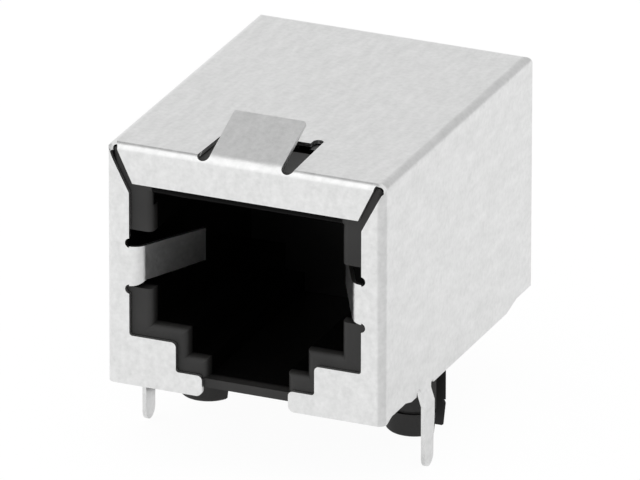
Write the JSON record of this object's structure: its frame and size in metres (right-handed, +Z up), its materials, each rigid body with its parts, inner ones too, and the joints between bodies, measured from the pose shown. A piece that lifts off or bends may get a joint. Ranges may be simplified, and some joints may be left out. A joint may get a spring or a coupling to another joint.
{
  "type": "modular jack",
  "caption": "Shielded side-entry modular jack with a stepped plug cavity, spring contacts, split board pegs and ground pins.",
  "frame": {"origin": "midway between the two board pegs, on the board plane, at the centre of the small seating pad under the housing", "axes": "+Z up from the board, +Y the way a plug goes in, +X to the right seen from the mouth"},
  "size_m": [0.0148, 0.0184, 0.0176],
  "materials": {
    "plated_sheet": "satin tin-nickel plating on thin folded sheet",
    "housing_plastic": "matte black moulded plastic",
    "insert_plastic": "matte black moulded plastic",
    "contact_metal": "gold-plated spring bronze, plain"
  },
  "bodies": {
    "root": {"shield": "plated_sheet", "housing": "housing_plastic", "contact_insert": "insert_plastic", "contact_1": "contact_metal", "contact_2": "contact_metal", "contact_3": "contact_metal", "contact_4": "contact_metal", "contact_5": "contact_metal", "contact_6": "contact_metal"}
  },
  "joints": []
}
